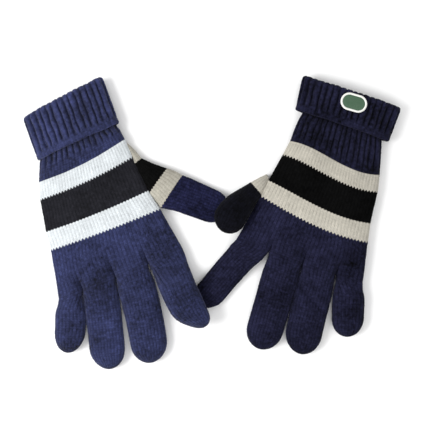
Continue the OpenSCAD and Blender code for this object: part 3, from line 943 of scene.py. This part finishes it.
def tube_piece(glove, node, stations, total, tip=False):
    """A knitted tube through its stations, gathered shut if it has a tip."""
    s = sizes()
    wales = wales_round(total)
    path = np.array(stations, float)
    run = np.hypot(*np.diff(path[:, :2], axis=0).T).sum()
    cap = path[-1][4] * 0.5 if tip else 0.0
    full = run + cap * 0.45
    count = max(2, int(round(full / mm(s.course))))
    rows = count * ROWS
    spacing = full / rows
    needed = rows + 1 + SPARE
    if tip:
        base = along_stations(path, 300)
        dist = np.linspace(0, run, 300)
    else:
        direction = path[-1] - path[-2]
        direction /= np.hypot(direction[0], direction[1])
        path = np.vstack([path, path[-1] + direction * spacing * SPARE])
        table = along_stations(path, needed)
    rings = []
    for i in range(needed):
        if tip:
            d, shrink = round_end(i * spacing, run - cap, full, cap)
            row = np.array([np.interp(d, dist, base[:, k]) for k in range(6)])
        else:
            row, shrink = table[i], 1.0
        a0, b0, turn, z0, w, h = row
        low = h * crowned(shrink)
        fx, fz = section(w * shrink, low, wales, total)
        psi = math.radians(turn)
        a = a0 + fx * math.cos(psi)
        b = b0 - fx * math.sin(psi)
        upper = upper_side(fz, max(low, 1))
        z = z0 + fz + (h - low) * 0.4 + 0.35 * upper * shrink * ripple(a, b, 11)
        rings.append(np.stack([a, b, z], axis=1))
    rings = zigzag(np.stack(rings), np.full(rows + 1, 0.9), wales, spacing)
    height = stitch_height(wales[None, :], courses_up(rows)[:, None])
    lift = mm(s.stitch_relief) * (height - 0.6) * np.clip(
        stitch_share(rings), 0.2, 1)[:, None]
    lining = (0, rows // 2, int(rows * 0.9)) if tip else None
    return knit_mesh(glove.side + "_" + node + "_knit", glove, rings, lift, height,
                     total, count, closed_tip=tip, lining_rows=lining)


# ------------------------------------------------------------------- patch
def pill(length, width, count):
    """Points round a pill-shaped outline, evenly spaced."""
    q = np.linspace(0, 2 * math.pi, 2881)
    flat = length - width
    x = width / 2 * np.cos(q) + flat / 2 * np.sign(np.cos(q))
    y = width / 2 * np.sin(q)
    return spaced(x, y, np.arange(count) / count)


def patch_centre():
    """Middle of the patch, at its underside."""
    low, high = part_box("lh_patch_border")
    return Vector(((low.x + high.x) / 2, (low.y + high.y) / 2, low.z))


def patch_piece(rows, lift_of, turn):
    """Rings of a pill-shaped pad, from its rim inwards, with the last to close."""
    bm = bmesh.new()
    centre = patch_centre()
    direction = Vector((math.cos(turn), math.sin(turn), 0))
    aside = Vector((-direction.y, direction.x, 0))
    loops = []
    for inset, height in rows:
        x, y = pill(PATCH_LENGTH - 2 * inset, PATCH_WIDTH - 2 * inset, PATCH_POINTS)
        rim = lift_of(np.arange(PATCH_POINTS), inset)
        loops.append([bm.verts.new(centre + (direction * x[i] + aside * y[i]) / METRE
                                   + Vector((0, 0, (height + rim[i]) / METRE)))
                      for i in range(PATCH_POINTS)])
    for inner, outer in zip(loops[1:], loops):
        ring_faces(bm, outer, inner)
    return bm, loops


def ring_faces(bm, outer, inner):
    """A strip of faces between two loops of vertices."""
    for i in range(len(outer)):
        k = (i + 1) % len(outer)
        bm.faces.new((outer[i], outer[k], inner[k], inner[i]))


def patch_object(bm, name, material):
    bmesh.ops.remove_doubles(bm, verts=bm.verts, dist=WELD)
    bmesh.ops.recalc_face_normals(bm, faces=bm.faces)
    mesh = bpy.data.meshes.new(name)
    bm.to_mesh(mesh)
    bm.free()
    mesh.shade_smooth()
    mesh.materials.append(material)
    piece = bpy.data.objects.new(name, mesh)
    bpy.context.scene.collection.objects.link(piece)
    return piece


# --------------------------------------------------------------- materials
def group(name, inputs, outputs):
    """An empty node group with named float or colour sockets."""
    tree = bpy.data.node_groups.new(name, "ShaderNodeTree")
    kinds = {"float": "NodeSocketFloat", "color": "NodeSocketColor"}
    for label, kind, value in inputs:
        socket = tree.interface.new_socket(name=label, in_out="INPUT",
                                           socket_type=kinds[kind])
        socket.default_value = value
    for label, kind in outputs:
        tree.interface.new_socket(name=label, in_out="OUTPUT",
                                  socket_type=kinds[kind])
    return tree, tree.nodes.new("NodeGroupInput"), tree.nodes.new("NodeGroupOutput")


def maths(tree, operation, first, second=None, clamp=False):
    node = tree.nodes.new("ShaderNodeMath")
    node.operation = operation
    node.use_clamp = clamp
    for socket, value in zip(node.inputs, (first, second)):
        if value is None:
            continue
        if isinstance(value, bpy.types.NodeSocket):
            tree.links.new(value, socket)
        else:
            socket.default_value = value
    return node.outputs[0]


def noise(tree, vector, scale, detail=3.0, rough=0.55):
    node = tree.nodes.new("ShaderNodeTexNoise")
    node.inputs["Scale"].default_value = scale
    node.inputs["Detail"].default_value = detail
    node.inputs["Roughness"].default_value = rough
    if vector is not None:
        tree.links.new(vector, node.inputs["Vector"])
    return node.outputs["Fac"]


def new_material(name):
    """A material with its node tree and its shader."""
    material = bpy.data.materials.new(name)
    material.use_nodes = True
    return material, material.node_tree, material.node_tree.nodes["Principled BSDF"]


def tinted(tree, shader, colour, shade):
    """Gives the shader one colour, lighter and darker by shade."""
    tint = tree.nodes.new("ShaderNodeVectorMath")
    tint.operation = "SCALE"
    tint.inputs[0].default_value = colour
    tree.links.new(shade, tint.inputs["Scale"])
    tree.links.new(tint.outputs[0], shader.inputs["Base Color"])


def raised(tree, shader, height, distance, strength):
    """Gives the shader a fine surface of its own."""
    node = tree.nodes.new("ShaderNodeBump")
    node.inputs["Distance"].default_value = distance
    node.inputs["Strength"].default_value = strength
    tree.links.new(height, node.inputs["Height"])
    tree.links.new(node.outputs["Normal"], shader.inputs["Normal"])


def yarn_group():
    """Shade and height of spun yarn: painted shade in the gaps between stitches and
    the rib grooves, read from the relief attribute; flecks, blotches and uneven
    stitches; plies and loose fibres.
    """
    tree, entry, leave = group(
        "Spun yarn", (("Depth", "float", 0.7), ("Heather", "float", 0.3),
                      ("Fuzz", "float", 0.5)),
        (("Shade", "float"), ("Height", "float")))
    coords = tree.nodes.new("ShaderNodeTexCoord").outputs["Object"]
    knit = tree.nodes.new("ShaderNodeUVMap")
    knit.uv_map = "knit"
    split = tree.nodes.new("ShaderNodeSeparateXYZ")
    tree.links.new(knit.outputs["UV"], split.inputs[0])
    across = maths(tree, "FRACT", split.outputs["X"])
    leg = maths(tree, "ABSOLUTE", maths(tree, "SUBTRACT", across, 0.5))
    twist = maths(tree, "SINE", maths(tree, "ADD", maths(
        tree, "MULTIPLY", split.outputs["Y"], 12.566), maths(
        tree, "MULTIPLY", leg, 30.0)))
    relief = tree.nodes.new("ShaderNodeAttribute")
    relief.attribute_name = "relief"
    whole = tree.nodes.new("ShaderNodeVectorMath")
    whole.operation = "FLOOR"
    tree.links.new(knit.outputs["UV"], whole.inputs[0])
    stitch = tree.nodes.new("ShaderNodeTexWhiteNoise")
    stitch.noise_dimensions = "2D"
    tree.links.new(whole.outputs[0], stitch.inputs["Vector"])
    fuzz = noise(tree, coords, 1900.0, 4.0, 0.7)
    flecks = noise(tree, coords, 420.0, 3.0, 0.7)
    patches = noise(tree, coords, 30.0, 4.0, 0.55)
    # Painted shade: where the relief attribute is low, in the gaps between stitches
    # and the rib grooves, the colour is darkened by Depth.
    deep = maths(tree, "POWER", relief.outputs["Fac"], 0.8)
    groove_shade = maths(tree, "MULTIPLY_ADD", deep, entry.outputs["Depth"])
    tree.links.new(maths(tree, "SUBTRACT", 1.0, entry.outputs["Depth"]),
                   groove_shade.node.inputs[2])
    fleck, patch, uneven = (
        maths(tree, "MULTIPLY", maths(tree, "SUBTRACT", value, 0.5), amount)
        for value, amount in ((flecks, 3.6), (patches, 4.2),
                              (stitch.outputs["Value"], 0.8)))
    mottle = maths(tree, "ADD", maths(tree, "ADD", fleck, patch), uneven)
    mottle = maths(tree, "ADD", maths(
        tree, "MULTIPLY", mottle, entry.outputs["Heather"]), 1.0)
    shade = maths(tree, "MULTIPLY", groove_shade, mottle)
    tree.links.new(shade, leave.inputs["Shade"])
    loose = maths(tree, "MULTIPLY", fuzz, entry.outputs["Fuzz"])
    height = maths(tree, "ADD", maths(tree, "MULTIPLY", twist, 0.25), loose)
    tree.links.new(height, leave.inputs["Height"])
    return tree


def yarn_material(name, colour, groove_shade, heather, fuzz, sheen, gloss):
    """Matt spun yarn of one colour."""
    material, tree, shader = new_material(name)
    yarn = tree.nodes.new("ShaderNodeGroup")
    yarn.node_tree = bpy.data.node_groups.get("Spun yarn") or yarn_group()
    yarn.inputs["Depth"].default_value = groove_shade
    yarn.inputs["Heather"].default_value = heather
    yarn.inputs["Fuzz"].default_value = fuzz
    tinted(tree, shader, colour, yarn.outputs["Shade"])
    raised(tree, shader, yarn.outputs["Height"], 0.0005, 0.8)
    shader.inputs["Roughness"].default_value = 0.92
    shader.inputs["Specular IOR Level"].default_value = gloss
    shader.inputs["Sheen Weight"].default_value = sheen
    shader.inputs["Sheen Roughness"].default_value = 0.45
    return material


def thread_material(name, colour):
    """Glossy embroidery thread, its strands lying close together."""
    material, tree, shader = new_material("thread_" + name)
    coords = tree.nodes.new("ShaderNodeTexCoord").outputs["Object"]
    strands = noise(tree, coords, 1500.0, 3.0, 0.6)
    tinted(tree, shader, colour, maths(
        tree, "ADD", maths(tree, "MULTIPLY", strands, 0.8), 0.6))
    raised(tree, shader, strands, 0.0002, 1.0)
    shader.inputs["Roughness"].default_value = 0.55
    return material


def yarn(side, kind):
    """One glove's copy of a yarn, made the first time that it is asked for: the left
    glove's copies and the shaded ones are darkened with painted shade.
    """
    name = kind + "_" + {"rh": "right", "lh": "left"}[side]
    groove_shade, heather, sheen, gloss = {
        "navy": (0.82, 0.56, 0.10, 0.14), "black": (0.74, 0.40, 0.04, 0.08),
        "white": (0.46, 0.09, 0.05, 0.20)}[kind.split("_")[0]]
    # Painted shade: the left glove's and the shaded copies also get less sheen and
    # gloss, and more heather.
    if side == "lh" or "shaded" in kind:
        sheen, gloss = 0.3 * sheen, 0.35 * gloss
        heather *= 1.25
    return bpy.data.materials.get("yarn_" + name) or yarn_material(
        "yarn_" + name, getattr(bpy.context.scene.knit_colours, name), groove_shade,
        heather, 0.5, sheen, gloss)


def finish_piece(piece, glove, node, kind):
    """Gives a piece its yarn, and hides the part that it stands for."""
    piece.data.materials.append(yarn(glove.side, kind))
    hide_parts(glove.side + "_" + node)
    return piece


def both():
    """The two gloves, right hand first."""
    return Glove("rh"), Glove("lh")


# --------------------------------------------------------------- operators
class GLOVES_OT_hands(bpy.types.Operator):
    """Knit the palm and the three stripes of each hand"""
    bl_idname = "gloves.hands"
    bl_label = "Hands"

    def execute(self, context):
        bands = (("stripe_white_upper", "white"), ("stripe_black", "black"),
                 ("stripe_white_lower", "white"), ("palm", "navy"))
        for glove in both():
            for (node, kind), start, end in zip(bands, glove.edges,
                                                (*glove.edges[1:], 0.0)):
                count = int(round((end - start) / mm(sizes().course)))
                piece = hand_piece(glove, node, start, end, count)
                finish_piece(piece, glove, node, kind)
                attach(piece, glove.side + "_hand")
        return {"FINISHED"}


class GLOVES_OT_cuffs(bpy.types.Operator):
    """Knit the ribbed wrists, the turned-up cuffs and their hem bands"""
    bl_idname = "gloves.cuffs"
    bl_label = "Cuffs"

    def execute(self, context):
        for glove in both():
            wrist = wrist_piece(glove)
            finish_piece(wrist, glove, "wrist_rib", "navy")
            b = glove.b_white_upper
            still = b + min(float(glove.sag(x, b)) for x in (-1, 0, 1)) - 0.3
            glove.point(glove.middle(b), still, WRIST_BEND_Z)
            glove.point(glove.middle(b), still - WRIST_BEND,
                                     WRIST_BEND_Z)
            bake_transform(wrist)
            for node, made in (("cuff_turn_up", cuff_piece), ("cuff_hem", hem_piece)):
                piece = finish_piece(made(glove), glove, node, "navy")
                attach(piece, glove.side + "_turn_up")
        return {"FINISHED"}


class GLOVES_OT_fingers(bpy.types.Operator):
    """Knit the four fingers of each hand"""
    bl_idname = "gloves.fingers"
    bl_label = "Fingers"

    def execute(self, context):
        for glove in both():
            for finger in FINGERS:
                piece = finger_piece(glove, finger)
                finish_piece(piece, glove, "finger_" + finger, "navy")
                centre = FINGER_MIDDLES[finger]
                start, end = FINGER_BEND
                glove.point(centre, start, FINGER_BEND_Z)
                glove.point(centre, end, FINGER_BEND_Z)
                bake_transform(piece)
        return {"FINISHED"}


class GLOVES_OT_thumbs(bpy.types.Operator):
    """Knit the thumbs and the striped gussets that they grow from"""
    bl_idname = "gloves.thumbs"
    bl_label = "Thumbs"

    def execute(self, context):
        right, left = both()
        for node, stations, kind, total in RIGHT_GUSSET:
            piece = tube_piece(right, node, stations, total)
            finish_piece(piece, right, node, kind)
            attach(piece, "rh_hand")
        lean = math.radians(RIGHT_LEAN)
        a, b = RIGHT_START
        right_thumb = (RIGHT_ROOT, *(
            (a + d * math.sin(lean), b + d * math.cos(lean), turn, 0.0, wide, high)
            for d, turn, wide, high in RIGHT_THUMB))
        self.thumb(right, right_thumb)
        piece = tube_piece(left, "gusset_white_lower", LEFT_GUSSET,
                           LEFT_GUSSET_STITCHES)
        finish_piece(piece, left, "gusset_white_lower", "white")
        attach(piece, "lh_hand")
        self.thumb(left, LEFT_THUMB)
        return {"FINISHED"}

    @staticmethod
    def thumb(glove, stations):
        """Knits one thumb, gives it its yarn and bakes its place into its mesh."""
        piece = tube_piece(glove, "thumb", stations, THUMB_STITCHES[glove.side],
                           tip=True)
        # The thumb takes its glove's navy darkened with painted shade.
        finish_piece(piece, glove, "thumb", "navy_shaded")
        start, end = THUMB_BENDS[glove.side]
        glove.point(*start, THUMB_BEND_Z)
        glove.point(*end, THUMB_BEND_Z)
        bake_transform(piece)


class GLOVES_OT_patch(bpy.types.Operator):
    """Sew the green patch with its overlocked border on to the left turn-up"""
    bl_idname = "gloves.patch"
    bl_label = "Patch"

    def execute(self, context):
        glove = Glove("lh")
        turn = math.atan2(glove.across[1], glove.across[0]) + PATCH_TURN
        c = context.scene.knit_colours
        for node, rows, lift_of, colour, slot in (
                ("lh_patch_field", FIELD_ROWS,
                 lambda i, inset: 0.08 * np.sin(i * math.pi / 2) * (1.6 < inset < 7),
                 c.patch_green, "patch_green"),
                ("lh_patch_border", BORDER_ROWS,
                 lambda i, inset: 0.10 * np.cos(i * math.pi) * (0.1 < inset < 1.8),
                 c.patch_white, "patch_white")):
            bm, loops = patch_piece(rows, lift_of, turn)
            if slot == "patch_green":
                bmesh.ops.contextual_create(bm, geom=loops[0])
            else:
                ring_faces(bm, loops[0], loops[-1])
            piece = patch_object(bm, node + "_sewn", thread_material(slot, colour))
            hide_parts(node)
            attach(piece, "lh_turn_up")
        return {"FINISHED"}


class GLOVES_OT_stage(bpy.types.Operator):
    """Lay the pale floor, set the lights and the camera above"""
    bl_idname = "gloves.stage"
    bl_label = "Stage"

    def execute(self, context):
        scene = context.scene
        mesh = bpy.data.meshes.new("floor")
        bm = bmesh.new()
        bmesh.ops.create_grid(bm, x_segments=1, y_segments=1, size=FLOOR_SIZE)
        bm.to_mesh(mesh)
        bm.free()
        floor = bpy.data.objects.new("floor", mesh)
        floor.location.z = FLOOR_Z
        scene.collection.objects.link(floor)
        paper, _, shader = new_material("paper")
        shader.inputs["Base Color"].default_value = PAPER
        shader.inputs["Roughness"].default_value = 0.9
        floor.data.materials.append(paper)

        world = bpy.data.worlds.new("studio")
        world.use_nodes = True
        sky = world.node_tree.nodes["Background"].inputs
        sky["Color"].default_value = (1, 1, 1, 1)
        sky["Strength"].default_value = DAYLIGHT
        scene.world = world
        for name, place, size, watts in LIGHTS:
            light = bpy.data.lights.new(name, "AREA")
            light.size = size
            light.energy = watts
            lamp = bpy.data.objects.new(name, light)
            lamp.location = place
            aim = Vector(LIGHT_AIM) - Vector(place)
            lamp.rotation_euler = aim.to_track_quat("-Z", "Y").to_euler()
            scene.collection.objects.link(lamp)
        scene.view_settings.view_transform = "Standard"

        camera = bpy.data.cameras.new("camera")
        camera.lens = LENS
        camera.sensor_width = SENSOR
        view = bpy.data.objects.new("camera", camera)
        view.location = (*VIEW_CENTRE, VIEW_WIDTH / 2 * LENS / (SENSOR / 2))
        scene.collection.objects.link(view)
        scene.camera = view
        return {"FINISHED"}


class GLOVES_PT_panel(bpy.types.Panel):
    """Lists the pieces, sizes and colours of the gloves"""
    bl_label = "Knitted gloves"
    bl_idname = "GLOVES_PT_panel"
    bl_space_type = "VIEW_3D"
    bl_region_type = "UI"
    bl_category = "Gloves"

    def draw(self, context):
        layout = self.layout
        for operator in OPERATORS:
            layout.operator(operator.bl_idname)
        for settings in (context.scene.knit_sizes, context.scene.knit_colours):
            for key in settings.bl_rna.properties.keys():
                if key not in ("rna_type", "name"):
                    layout.prop(settings, key)


OPERATORS = (GLOVES_OT_hands, GLOVES_OT_cuffs, GLOVES_OT_fingers,
             GLOVES_OT_thumbs, GLOVES_OT_patch, GLOVES_OT_stage)
CLASSES = (KnitSizes, KnitColours, *OPERATORS, GLOVES_PT_panel)


def register():
    for each in CLASSES:
        bpy.utils.register_class(each)
    bpy.types.Scene.knit_sizes = PointerProperty(type=KnitSizes)
    bpy.types.Scene.knit_colours = PointerProperty(type=KnitColours)


def unregister():
    del bpy.types.Scene.knit_sizes
    del bpy.types.Scene.knit_colours
    for each in reversed(CLASSES):
        bpy.utils.unregister_class(each)


def main():
    register()
    bpy.ops.gloves.hands()
    bpy.ops.gloves.cuffs()
    bpy.ops.gloves.fingers()
    bpy.ops.gloves.thumbs()
    bpy.ops.gloves.patch()
    bpy.ops.gloves.stage()


if __name__ == "__main__":
    main()
